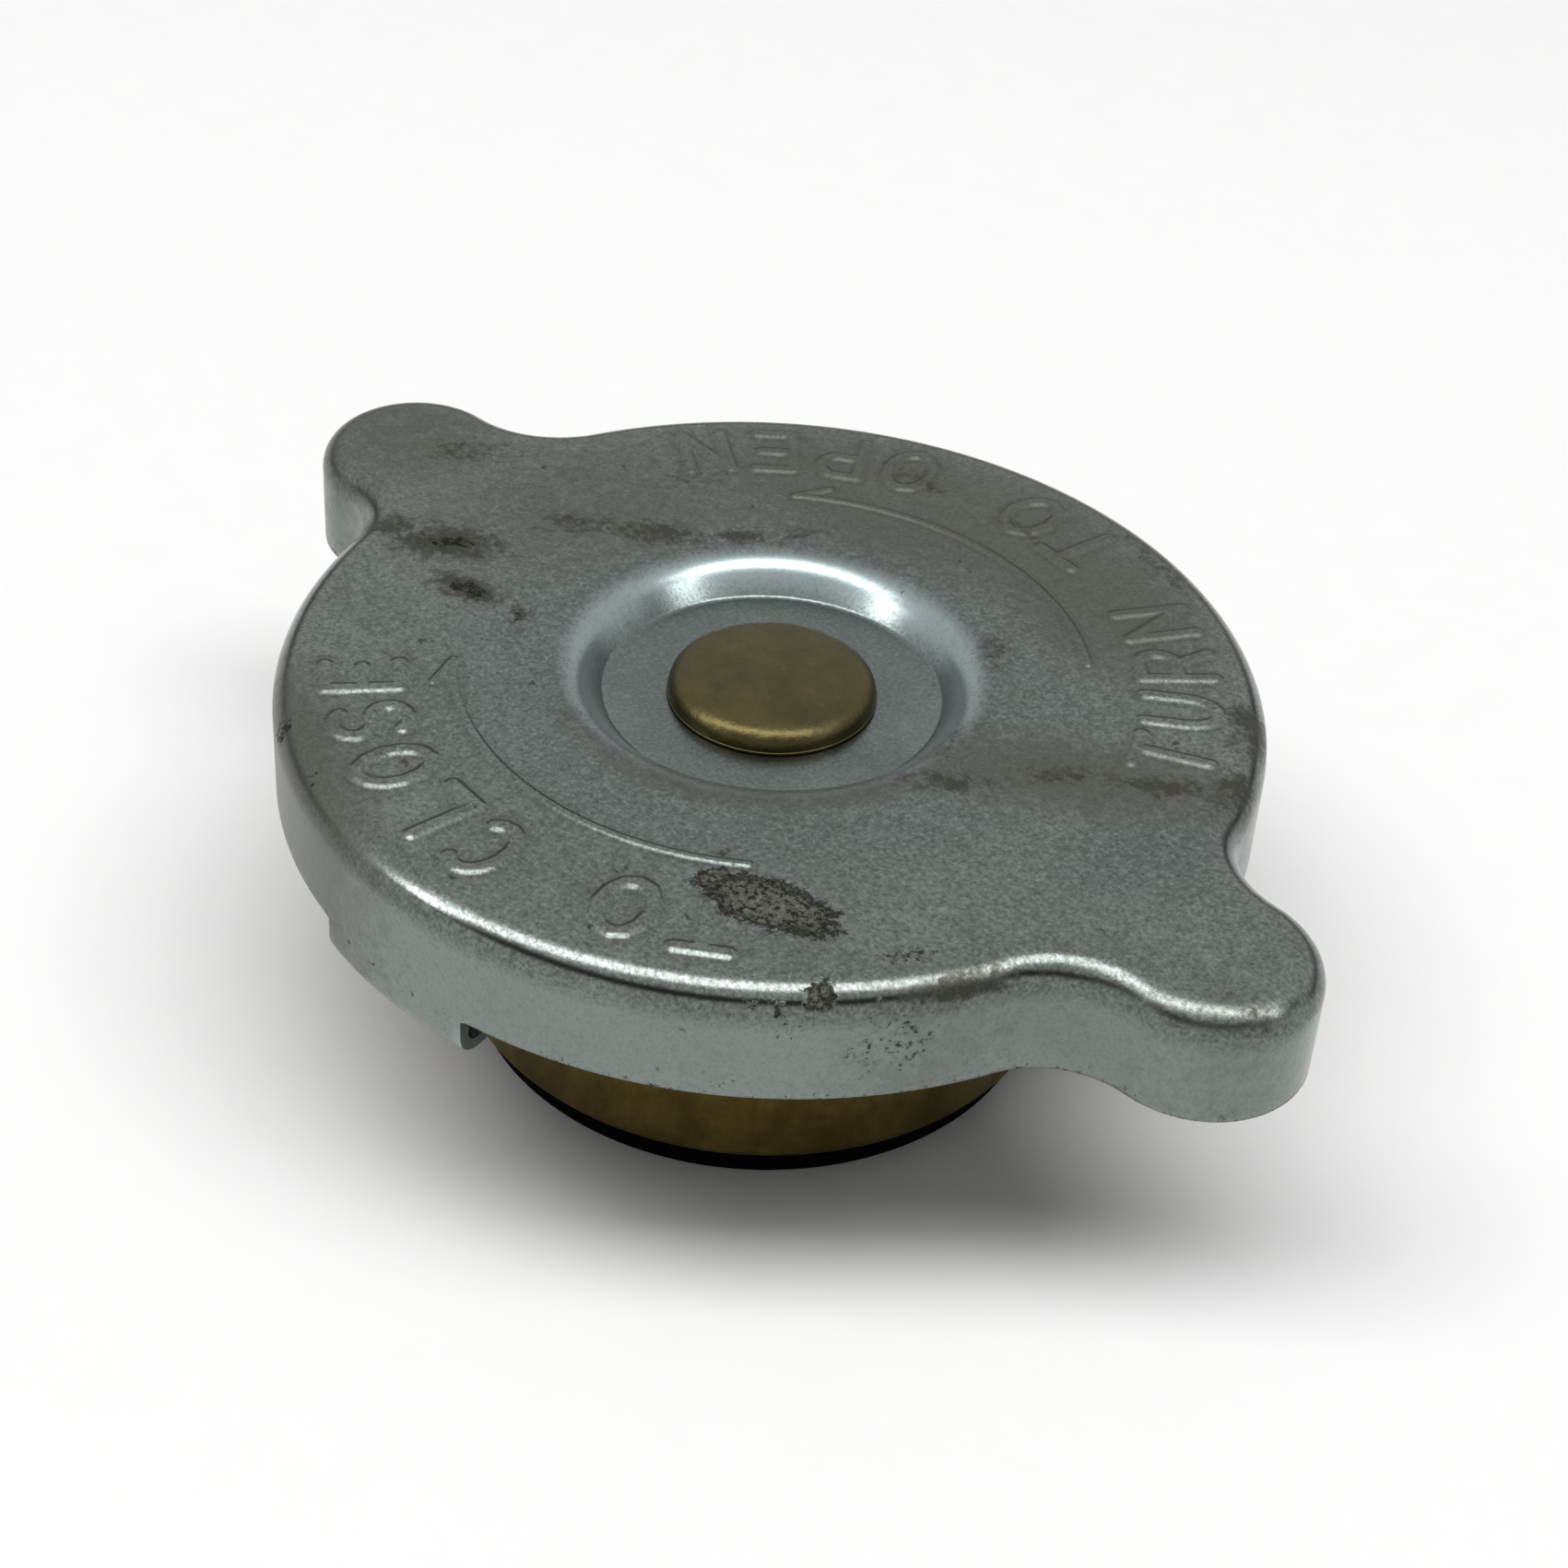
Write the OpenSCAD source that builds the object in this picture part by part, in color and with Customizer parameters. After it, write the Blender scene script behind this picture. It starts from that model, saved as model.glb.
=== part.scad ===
// Pressure cap for a radiator's filler neck.
// The frame has +Z up, X along the two grip ears, and its origin under the middle of the rubber seal.

/* [Shell] */
// Radius of the round body, over the skirt
body_r = 28.5; // [27:0.1:31]
// Reach of each grip ear from the cap's axis
ear_reach = 38.3; // [37:0.1:41]
// Radius of each ear's round end
ear_r = 5.9; // [5:0.1:7]
// Radius of the hollow curve that leads from the body into an ear
ear_blend_r = 5.9; // [4.5:0.1:8]
// Thickness of the pressed sheet
sheet_t = 0.9; // [0.6:0.05:1.1]
// Inner radius of the bend from the top face into the skirt
bend_in_r = 1; // [0.6:0.1:1.6]
// Height of the skirt, from its lower edge to the top face
skirt_h = 7.1; // [6:0.1:9]

/* [Dish] */
// Radius of the flat floor of the centre dish
dish_floor_r = 9.6; // [8.5:0.1:10.5]
// Depth of the dish below the top face
dish_depth = 2; // [1.4:0.1:2.4]
// Radius of the soft edge where the top face turns down into the dish
dish_edge_r = 2.5; // [1.6:0.1:3]
// Radius of the hollow corner round the dish floor
dish_corner_r = 0.4; // [0.3:0.1:0.8]
// Slope of the dish's wall, in degrees
dish_slope = 50; // [42:1:58]

/* [Locking lugs] */
// Drop of each lug below the skirt's lower edge
lug_drop = 2.6; // [1.4:0.1:3.2]
// Reach of each lug's folded foot, inwards from the outside of the skirt
lug_reach = 4.2; // [3:0.1:5.5]
// Angle that each lug takes up round the skirt
lug_angle = 23; // [16:1:34]
// Inner radius of the lug's fold
lug_fold_r = 0.5; // [0.3:0.1:0.7]

/* [Rivet] */
// Radius of the rivet's broad head
head_r = 6.1; // [5:0.1:7]
// Height of the head's straight edge, below its rounding
head_band_h = 0.15; // [0.1:0.05:0.6]
// Rounding of the head's edge
head_edge_r = 1.2; // [0.8:0.05:1.6]
// Rise of the head's crown above its rounded edge
head_crown = 0.25; // [0.05:0.05:0.4]
// Radius of the rivet's shank
shank_r = 3; // [2.5:0.1:3.4]
// Radius of the clenched end inside the bell
clench_r = 4.6; // [4:0.1:5.2]
// Height of the clenched end
clench_h = 1.3; // [1:0.1:1.6]
// Radius of the washer under the clenched end
washer_r = 7.4; // [6:0.1:8]
// Thickness of that washer
washer_t = 0.8; // [0.6:0.1:1]

/* [Sealing disc] */
// Thickness of the spring disc
disc_t = 0.4; // [0.3:0.05:0.6]
// Gap between the disc's rim and the inside of the skirt
disc_margin = 2.1; // [1:0.1:3]
// Width of the disc's flat sealing rim
disc_rim_w = 3.5; // [2.5:0.1:4]
// Drop of the rim below the middle of the disc
disc_drop = 1.4; // [1:0.1:1.8]
// Distance of the disc's bend inside the bell's wall
disc_bend_in = 3; // [2:0.1:4]

/* [Bell] */
// Outer radius of the bell
bell_r = 18.4; // [17.5:0.1:19.5]
// Height of the bell from its lip to its top
bell_h = 17.4; // [16:0.1:20]
// Thickness of the bell's wall
bell_t = 0.5; // [0.4:0.05:0.7]
// Radius of the bell's upper shoulder
shoulder_r = 4; // [3:0.1:5]
// Width of the lip turned in at the bell's lower edge
lip_w = 0.5; // [0.4:0.05:0.8]
// Radius of the vent holes in the bell's wall
vent_r = 1.5; // [1:0.1:2]
// Number of vent holes
vent_count = 3; // [2:1:4]
// Height of the vent holes above the bell's lip
vent_h = 11.4; // [9:0.1:12]

/* [Pressure valve] */
// Height of the rubber that stands below the bell's lip
seal_proud = 2.65; // [2.4:0.05:3.4]
// Thickness of the seal's inner lip
seal_lip_t = 1; // [0.8:0.05:1.1]
// Slope of the seal's hollow side, as the chamfer's width
seal_chamfer = 0.6; // [0.3:0.1:1]
// Thickness of the valve plate
plate_t = 0.8; // [0.6:0.1:1]
// Radius of the air holes in the plate
air_hole_r = 1.1; // [0.8:0.1:1.2]
// Number of air holes
air_hole_count = 4; // [3:1:6]
// Distance of the air holes from the axis
air_hole_ring_r = 5.2; // [5:0.1:5.6]
// Mean radius of the pressure spring
spring_r = 10.3; // [10:0.1:11]
// Wire diameter of the pressure spring
spring_wire = 1.5; // [1.2:0.1:1.7]
// Turns of the pressure spring
spring_turns = 4.8; // [4:0.1:5.5]

/* [Vacuum valve] */
// Radius of the vacuum valve disc
vac_disc_r = 10; // [9.5:0.1:11]
// Thickness of the vacuum valve disc
vac_disc_t = 0.5; // [0.4:0.05:0.6]
// Width of the seal lip that the disc closes on
vac_seat_w = 2.4; // [1.8:0.1:2.8]
// Gap between the disc's edge and the thick part of the seal
vac_side_gap = 1; // [0.6:0.1:1.5]
// Radius of the stem
stem_r = 1.6; // [1.3:0.1:1.9]
// Radius of the stem's flat head under the disc
stem_head_r = 3; // [2.5:0.1:3.5]
// Thickness of that head
stem_head_t = 0.3; // [0.2:0.05:0.4]
// Radius of the stem's upset top
stem_top_r = 2.3; // [2:0.1:2.6]
// Height of the upset top
stem_top_h = 0.6; // [0.4:0.1:1]
// Radius of the keeper washer
keeper_r = 4; // [3.7:0.1:4.5]
// Thickness of the keeper washer
keeper_t = 0.7; // [0.5:0.1:1]
// Mean radius of the vacuum spring
vac_spring_r = 3; // [2.7:0.1:3.2]
// Wire diameter of the vacuum spring
vac_spring_wire = 0.6; // [0.5:0.05:0.7]
// Turns of the vacuum spring
vac_spring_turns = 5.5; // [4:0.5:6.5]
// Fitted length of the vacuum spring
vac_spring_len = 6; // [5:0.1:7]

/* [Clearances] */
// Radial clearance of a shaft that turns or slides in a hole
running_gap = 0.05; // [0.02:0.01:0.1]
// Clearance between faces that meet across a moving joint
face_gap = 0.05; // [0.02:0.01:0.1]
// Clearance round the seal inside the bell's lip
seal_gap = 0.08; // [0.05:0.01:0.1]

/* [Hidden] */
$fn = 96;

// Length by which parts of one solid run into each other
lap = 1;
// Step and overlap of the hollow curves inside the arcs that they join
blend_step = 0.02;
blend_lap = 0.25;
// Distance of an ear's flat from the hollow bend beside it
flat_margin = 0.3;
// Turn of the first vent hole, over a lug
vent_turn = 90;
// Pitch of a spring's end turns, in wire diameters
end_pitch = 1.08;
// Sides of the springs' wire, and steps in each of their turns
spring_sides = 10;
spring_steps = 24;
vac_spring_sides = 8;
vac_spring_steps = 18;

// Heights, from the seal's face upwards
plate_z = seal_proud + bell_t + face_gap;
plate_top_z = plate_z + plate_t;
bell_top_z = seal_proud + bell_h;
disc_top_z = bell_top_z + disc_t;
dish_floor_z = disc_top_z + face_gap + sheet_t;
top_z = dish_floor_z + dish_depth;
skirt_z = top_z - skirt_h;
lug_z = skirt_z - lug_drop;
head_z = dish_floor_z + face_gap;
head_h = head_band_h + head_edge_r;
spring_top_z = bell_top_z - bell_t;
clench_z = spring_top_z - washer_t - clench_h;
seal_lip_z = plate_z - seal_lip_t;
vac_disc_z = seal_lip_z - face_gap - vac_disc_t;
keeper_z = plate_top_z + vac_spring_len;
stem_top_z = keeper_z + keeper_t + stem_top_h;

// Radii that follow from the pieces they fit
bend_out_r = bend_in_r + sheet_t;
lug_fold_out_r = lug_fold_r + sheet_t;
bell_in_r = bell_r - bell_t;
plate_r = bell_in_r - running_gap;
seal_r = bell_in_r - lip_w - seal_gap;
seal_hollow_r = vac_disc_r + vac_side_gap;
seal_port_r = vac_disc_r - vac_seat_w;
disc_r = body_r - sheet_t - disc_margin;
disc_flat_r = bell_r - disc_bend_in;

// The dish's side: a straight slope between the arcs of its corner and its edge
dish_arcs_r = dish_edge_r + dish_corner_r;
dish_wall_h = dish_depth - dish_arcs_r * (1 - cos(dish_slope));
dish_wall_w = dish_wall_h / tan(dish_slope);
dish_top_r = dish_floor_r + dish_arcs_r * sin(dish_slope) + dish_wall_w;

// The ear: the hollow curve's centre touches the body's and the ear's circles
ear_x = ear_reach - ear_r;
blend_d = body_r + ear_blend_r;
blend_angle = acos((pow(blend_d, 2) + pow(ear_x, 2) - pow(ear_r + ear_blend_r, 2)) / (2 * blend_d * ear_x));
blend_x = blend_d * cos(blend_angle);
blend_y = blend_d * sin(blend_angle);
ear_half_angle = atan2(blend_y, blend_x - ear_x);
blend_sweep = ear_half_angle - blend_angle;
blend_lap_angle = blend_lap / ear_blend_r * 180 / PI;

// A quarter of a bent sheet in section, between two radii
module bend_quarter(outer, inner) {
    intersection() {
        difference() {
            circle(outer);
            circle(inner);
        }
        square(outer + lap);
    }
}

// A sector of a ring in section, from the vertical round by an angle
module bend_sector(outer, inner, angle) {
    reach = 2 * outer;
    intersection() {
        difference() {
            circle(outer);
            circle(inner);
        }
        polygon([[0, 0], [0, reach], [reach * sin(angle), reach * cos(angle)]]);
    }
}

// Section of the top face's edge and the bend, for a skirt of a given radius and lower end
module rim_section(from_r, outer, low_z) {
    edge_r = outer - bend_out_r;
    translate([from_r, top_z - sheet_t])
        square([edge_r - from_r, sheet_t]);
    translate([edge_r, top_z - bend_out_r])
        bend_quarter(bend_out_r, bend_in_r);
    translate([outer - sheet_t, low_z])
        square([sheet_t, top_z - bend_out_r - low_z]);
}

// The same section with its skirt on the inside, set in by a hair from the arcs that it joins
module hollow_section() {
    edge_r = ear_blend_r + bend_out_r;
    translate([edge_r, top_z - sheet_t + blend_step])
        square([lap, sheet_t - 2 * blend_step]);
    translate([edge_r, top_z - bend_out_r])
        mirror([1, 0])
            bend_quarter(bend_out_r - blend_step, bend_in_r + blend_step);
    translate([ear_blend_r + blend_step, skirt_z + blend_step])
        square([sheet_t - 2 * blend_step, skirt_h - bend_out_r - blend_step]);
}

// Section of the dish, from the rivet's hole out to the flat top face
module dish_section() {
    bore_r = shank_r + running_gap;
    translate([bore_r, dish_floor_z - sheet_t])
        square([dish_floor_r - bore_r, sheet_t]);
    translate([dish_floor_r, dish_floor_z + dish_corner_r])
        mirror([0, 1])
            bend_sector(dish_corner_r + sheet_t, dish_corner_r, dish_slope);
    translate([dish_floor_r, dish_floor_z + dish_corner_r])
        rotate(dish_slope)
            translate([0, -dish_corner_r - sheet_t])
                square([dish_wall_h / sin(dish_slope), sheet_t]);
    translate([dish_top_r, top_z - dish_edge_r])
        mirror([1, 0])
            bend_sector(dish_edge_r, dish_edge_r - sheet_t, dish_slope);
}

// Section of the lugs' fold, at the lower end of the body's skirt
module fold_section() {
    translate([body_r - lug_fold_out_r, lug_z + lug_fold_out_r])
        mirror([0, 1])
            bend_quarter(lug_fold_out_r, lug_fold_r);
    translate([body_r - lug_reach, lug_z])
        square([lug_reach - lug_fold_out_r, sheet_t]);
}

// A flat wedge round the axis, as wide as an angle and as long as a reach
module wedge(half_angle, reach) {
    polygon([
        [0, 0],
        [reach, -reach * tan(half_angle)],
        [reach, reach * tan(half_angle)],
    ]);
}

// The sheet trimmed from under the skirt between the lugs
module lug_trim() {
    translate([0, 0, lug_z - lap])
        linear_extrude(lug_drop + lap)
            difference() {
                circle(body_r + lap);
                for (turn = [90, 270])
                    rotate(turn)
                        wedge(lug_angle / 2, 2 * body_r);
            }
}

// The stretch of the body's rim that opens into an ear
module ear_gap() {
    translate([0, 0, lug_z - lap])
        linear_extrude(top_z - lug_z + 2 * lap)
            difference() {
                wedge(blend_angle, 2 * body_r);
                circle(body_r - bend_out_r - lap);
            }
}

// The round body, drawn with a fold all round and trimmed to its lugs
module shell_body() {
    difference() {
        rotate_extrude() {
            dish_section();
            rim_section(dish_top_r, body_r, lug_z + lug_fold_out_r);
            fold_section();
        }
        lug_trim();
        for (turn = [0, 180])
            rotate(turn)
                ear_gap();
    }
}

// The round end of an ear, cut where the hollow curves begin
module ear_end() {
    reach = 3 * ear_r;
    translate([ear_x, 0, 0])
        difference() {
            rotate_extrude()
                rim_section(0, ear_r, skirt_z);
            translate([0, 0, skirt_z - lap])
                linear_extrude(skirt_h + 2 * lap)
                    polygon([
                        [0, 0],
                        reach * [cos(ear_half_angle), sin(ear_half_angle)],
                        reach * [-1, 1],
                        reach * [-1, -1],
                        reach * [cos(ear_half_angle), -sin(ear_half_angle)],
                    ]);
        }
}

// The flat that runs from the body into an ear
module ear_flat() {
    translate([0, 0, top_z - sheet_t])
        linear_extrude(sheet_t)
            difference() {
                polygon([
                    [0, 0],
                    [blend_x, blend_y + lap],
                    [blend_x + lap, blend_y],
                    [ear_x + lap, 0],
                    [blend_x + lap, -blend_y],
                    [blend_x, -blend_y - lap],
                ]);
                circle(body_r - bend_out_r - 2 * lap);
                for (side = [-1, 1])
                    translate([blend_x, side * blend_y])
                        circle(ear_blend_r + bend_out_r + flat_margin);
            }
}

// One of the hollow curves that lead from the body into an ear
module ear_hollow() {
    translate([blend_x, blend_y, 0])
        rotate(180 + blend_angle - blend_lap_angle)
            rotate_extrude(angle = blend_sweep + 2 * blend_lap_angle)
                hollow_section();
}

module cap_shell() {
    color([0.62, 0.63, 0.6]) {
        shell_body();
        for (turn = [0, 180])
            rotate(turn) {
                ear_end();
                ear_flat();
                ear_hollow();
                mirror([0, 1, 0])
                    ear_hollow();
            }
    }
}

module rivet() {
    crown_a = head_r - head_edge_r;
    crown_r = (pow(crown_a, 2) + pow(head_crown, 2)) / (2 * head_crown);
    color([0.62, 0.54, 0.3])
        rotate_extrude() {
            translate([0, head_z]) {
                square([head_r, head_band_h]);
                square([crown_a, head_h]);
                translate([crown_a, head_band_h])
                    intersection() {
                        circle(head_edge_r);
                        square(head_edge_r + lap);
                    }
                intersection() {
                    translate([0, head_h + head_crown - crown_r])
                        circle(crown_r);
                    translate([0, head_h])
                        square([crown_a, 2 * head_crown]);
                }
            }
            translate([0, clench_z])
                square([shank_r, head_z - clench_z]);
            translate([0, clench_z])
                square([clench_r, clench_h]);
        }
}

module rivet_washer() {
    color([0.6, 0.6, 0.58])
        translate([0, 0, spring_top_z - washer_t])
            difference() {
                cylinder(h = washer_t, r = washer_r);
                translate([0, 0, -lap])
                    cylinder(h = washer_t + 2 * lap, r = shank_r);
            }
}

module sealing_disc() {
    rim_in_r = disc_r - disc_rim_w;
    rim_z = bell_top_z - disc_drop;
    color([0.7, 0.7, 0.7])
        rotate_extrude()
            polygon([
                [shank_r, bell_top_z],
                [disc_flat_r, bell_top_z],
                [rim_in_r, rim_z],
                [disc_r, rim_z],
                [disc_r, rim_z + disc_t],
                [rim_in_r, rim_z + disc_t],
                [disc_flat_r, disc_top_z],
                [shank_r, disc_top_z],
            ]);
}

module bell() {
    shoulder_z = bell_top_z - shoulder_r;
    color([0.5, 0.44, 0.26])
        difference() {
            rotate_extrude() {
                translate([bell_in_r - lip_w, seal_proud])
                    square([lip_w, bell_t]);
                translate([bell_in_r, seal_proud + bell_t])
                    mirror([0, 1])
                        intersection() {
                            circle(bell_t);
                            square(bell_t + lap);
                        }
                translate([bell_in_r, seal_proud + bell_t])
                    square([bell_t, shoulder_z - seal_proud - bell_t]);
                translate([bell_r - shoulder_r, shoulder_z])
                    bend_quarter(shoulder_r, shoulder_r - bell_t);
                translate([shank_r, bell_top_z - bell_t])
                    square([bell_r - shoulder_r - shank_r, bell_t]);
            }
            for (i = [0 : vent_count - 1])
                rotate(vent_turn + i * 360 / vent_count)
                    translate([0, 0, seal_proud + vent_h])
                        rotate([0, 90, 0])
                            cylinder(h = bell_r + lap, r = vent_r, $fn = 48);
        }
}

// A compression spring between two seats, with its end turns laid flat
module coil(mean_r, wire, low_z, high_z, turns, sides, steps) {
    wire_r = wire / 2;
    flat_r = wire_r * cos(180 / sides);
    rise = high_z - low_z - 2 * flat_r;
    lift = end_pitch * wire;
    dead = (rise - lift * turns) / (rise - 2 * lift);
    count = ceil(turns * steps);
    rings = [
        for (i = [0 : count])
            let (
                turn = turns * i / count,
                climb = (turn - dead) / (turns - 2 * dead),
                mid_z = low_z + flat_r + rise * min(1, max(0, climb))
            )
            [
                for (k = [0 : sides - 1])
                    let (
                        a = 360 * (k + 0.5) / sides - 90,
                        r = mean_r + wire_r * cos(a)
                    )
                    [r * cos(360 * turn), r * sin(360 * turn), mid_z + wire_r * sin(a)]
            ]
    ];
    polyhedron(
        points = [for (ring = rings, p = ring) p],
        faces = [
            [for (k = [0 : sides - 1]) k],
            for (i = [0 : count - 1], k = [0 : sides - 1])
                let (
                    next = (k + 1) % sides,
                    base = i * sides
                )
                each [
                    [base + k, base + sides + k, base + sides + next],
                    [base + k, base + sides + next, base + next],
                ],
            [for (k = [sides - 1 : -1 : 0]) count * sides + k],
        ]
    );
}

module pressure_spring() {
    color([0.45, 0.46, 0.48])
        coil(spring_r, spring_wire, plate_top_z, spring_top_z, spring_turns, spring_sides, spring_steps);
}

module valve_plate() {
    color([0.66, 0.57, 0.32])
        translate([0, 0, plate_z])
            difference() {
                cylinder(h = plate_t, r = plate_r);
                translate([0, 0, -lap])
                    cylinder(h = plate_t + 2 * lap, r = stem_r + running_gap);
                for (i = [0 : air_hole_count - 1])
                    rotate(i * 360 / air_hole_count)
                        translate([air_hole_ring_r, 0, -lap])
                            cylinder(h = plate_t + 2 * lap, r = air_hole_r, $fn = 32);
            }
}

module pressure_seal() {
    color([0.08, 0.08, 0.08])
        rotate_extrude()
            polygon([
                [seal_r, 0],
                [seal_r, plate_z],
                [seal_port_r, plate_z],
                [seal_port_r, seal_lip_z],
                [seal_hollow_r, seal_lip_z],
                [seal_hollow_r + seal_chamfer, 0],
            ]);
}

module vacuum_disc() {
    color([0.66, 0.57, 0.32])
        translate([0, 0, vac_disc_z])
            difference() {
                cylinder(h = vac_disc_t, r = vac_disc_r);
                translate([0, 0, -lap])
                    cylinder(h = vac_disc_t + 2 * lap, r = stem_r);
            }
}

module vacuum_stem() {
    head_low_z = vac_disc_z - stem_head_t;
    color([0.6, 0.52, 0.3])
        rotate_extrude() {
            translate([0, head_low_z])
                square([stem_head_r, stem_head_t]);
            translate([0, head_low_z])
                square([stem_r, stem_top_z - head_low_z]);
            translate([0, stem_top_z - stem_top_h])
                square([stem_top_r, stem_top_h]);
        }
}

module vacuum_spring() {
    color([0.5, 0.5, 0.52])
        coil(vac_spring_r, vac_spring_wire, plate_top_z, keeper_z, vac_spring_turns,
             vac_spring_sides, vac_spring_steps);
}

module spring_keeper() {
    color([0.66, 0.57, 0.32])
        translate([0, 0, keeper_z])
            difference() {
                cylinder(h = keeper_t, r = keeper_r);
                translate([0, 0, -lap])
                    cylinder(h = keeper_t + 2 * lap, r = stem_r);
            }
}

cap_shell();
rivet();
rivet_washer();
sealing_disc();
bell();
pressure_spring();
valve_plate();
pressure_seal();
vacuum_disc();
vacuum_stem();
vacuum_spring();
spring_keeper();
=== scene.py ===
import math

import bmesh
import bpy
import numpy as np
from mathutils import Matrix, Vector


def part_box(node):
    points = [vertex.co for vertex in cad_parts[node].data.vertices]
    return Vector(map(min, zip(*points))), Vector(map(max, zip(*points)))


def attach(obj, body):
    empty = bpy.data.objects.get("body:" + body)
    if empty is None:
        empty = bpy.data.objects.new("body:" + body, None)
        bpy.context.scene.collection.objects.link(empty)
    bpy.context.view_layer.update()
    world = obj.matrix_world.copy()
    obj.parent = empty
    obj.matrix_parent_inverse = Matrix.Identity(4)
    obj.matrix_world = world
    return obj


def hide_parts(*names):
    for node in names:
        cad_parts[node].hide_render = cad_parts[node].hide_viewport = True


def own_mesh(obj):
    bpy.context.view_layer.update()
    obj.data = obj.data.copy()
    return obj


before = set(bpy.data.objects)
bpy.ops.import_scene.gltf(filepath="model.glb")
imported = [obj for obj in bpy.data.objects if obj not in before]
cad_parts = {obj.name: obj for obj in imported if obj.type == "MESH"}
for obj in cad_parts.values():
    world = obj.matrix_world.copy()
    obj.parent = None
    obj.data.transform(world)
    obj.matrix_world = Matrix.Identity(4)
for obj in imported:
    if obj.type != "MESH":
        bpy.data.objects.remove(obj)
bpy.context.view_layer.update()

# The shell: one pressing of zinc-plated sheet steel, with a round body, two grip ears, a dished centre
# and two lugs folded in under the skirt. Plain words and two arrows are raised from its top face,
# and years of heat and dirt have left brown stains on the dull plating. Its sizes are in millimetres.
MM = 0.001
shell_low, shell_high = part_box("cap_shell")
top_z = shell_high.z / MM
body_r = shell_high.y / MM
ear_reach = shell_high.x / MM
lug_z = shell_low.z / MM
ear_r = 5.9
ear_blend_r = 5.9
sheet_t = 0.9
bend_r = 1.9
skirt_h = 7.1
skirt_z = top_z - skirt_h
skirt_row_gap = 0.6
lug_reach = 4.2
lug_half_angle = 11.5
lug_fold_r = 0.5
lug_t = 0.65
cut_edge_r = 0.15
dish_floor_r = 9.6
dish_depth = 2.0
dish_edge_r = 2.5
dish_corner_r = 0.4
dish_slope = math.radians(50)
shell_bore_r = 3.05
column_step = 0.36
ear_column_step = 0.55
letter_row_step = 0.3
letter_out_r = 26.3
letter_in_r = 17.3
under_row_r = 20

ear_x = ear_reach - ear_r
blend_d = body_r + ear_blend_r
blend_cos = (blend_d**2 + ear_x**2 - (ear_r + ear_blend_r) ** 2) / (2 * blend_d * ear_x)
blend_angle = math.degrees(math.acos(blend_cos))
blend_x = blend_d * blend_cos
blend_y = blend_d * math.sin(math.radians(blend_angle))
ear_half_angle = math.degrees(math.atan2(blend_y, blend_x - ear_x))
dish_arcs_r = dish_edge_r + dish_corner_r
dish_wall_h = dish_depth - dish_arcs_r * (1 - math.cos(dish_slope))
dish_wall_w = dish_wall_h / math.tan(dish_slope)
dish_top_r = dish_floor_r + dish_arcs_r * math.sin(dish_slope) + dish_wall_w
dish_floor_z = top_z - dish_depth


def arc(centre, radius, start, end, step):
    """Points along an arc, without its last, and the direction of each from the centre."""
    count = max(3, round(math.radians(abs(end - start)) * radius / step))
    turn = np.radians(np.linspace(start, end, count, endpoint=False))
    way = np.column_stack((np.cos(turn), np.sin(turn)))
    return np.array(centre) + radius * way, way


low_from, low_to = 180 - blend_angle, 180 - ear_half_angle
low_p, low_way = arc((blend_x, -blend_y), ear_blend_r, low_from, low_to, ear_column_step)
tip_p, tip_way = arc((ear_x, 0), ear_r, -ear_half_angle, ear_half_angle, ear_column_step)
high_p, high_way = arc((blend_x, blend_y), ear_blend_r, -low_to, -low_from, ear_column_step)
body_p, body_way = arc((0, 0), body_r, blend_angle, 180 - blend_angle, column_step)
half_outline = np.vstack((low_p, tip_p, high_p, body_p))
half_facing = np.vstack((-low_way, tip_way, -high_way, body_way))
outline = np.vstack((half_outline, -half_outline))
facing = np.vstack((half_facing, -half_facing))
flat_edge = outline - bend_r * facing
column_turn = np.arctan2(flat_edge[:, 1], flat_edge[:, 0])
column_way = np.column_stack((np.cos(column_turn), np.sin(column_turn)))
columns = len(outline)
on_lug = np.abs(np.abs(np.degrees(column_turn)) - 90) < lug_half_angle
cut_edge = np.where(on_lug, 0.0, cut_edge_r)[:, None]


def at_height(plan, z):
    """A row of the shell: a closed line in plan, at one height or with a height for each point."""
    return np.column_stack((plan, np.broadcast_to(z, len(plan))))


def skirt_row(inset, z):
    return at_height(outline - inset * facing, z)


def ring_row(radius, z, every=1):
    return at_height(radius * column_way[::every], z)


def dish_row(radius, z):
    """A round row with half the columns, which is enough inside the letters and under the sheet."""
    return ring_row(radius, z, 2)


def flat_row(share, z):
    """A row of the flat between the bend, at share 0, and the round field of the letters, at share 1."""
    return at_height(flat_edge + share * (letter_out_r * column_way - flat_edge), z)


def edge_row(turn, z, radius):
    """A row of the dish's rounded upper edge, at a turn down from its level top at height z."""
    return dish_row(dish_top_r - radius * math.sin(turn), z - radius * (1 - math.cos(turn)))


def corner_row(turn, z, radius):
    """A row of the dish's rounded lower corner, at a turn up from its floor at height z."""
    return dish_row(dish_floor_r + radius * math.sin(turn), z + radius * (1 - math.cos(turn)))


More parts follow.
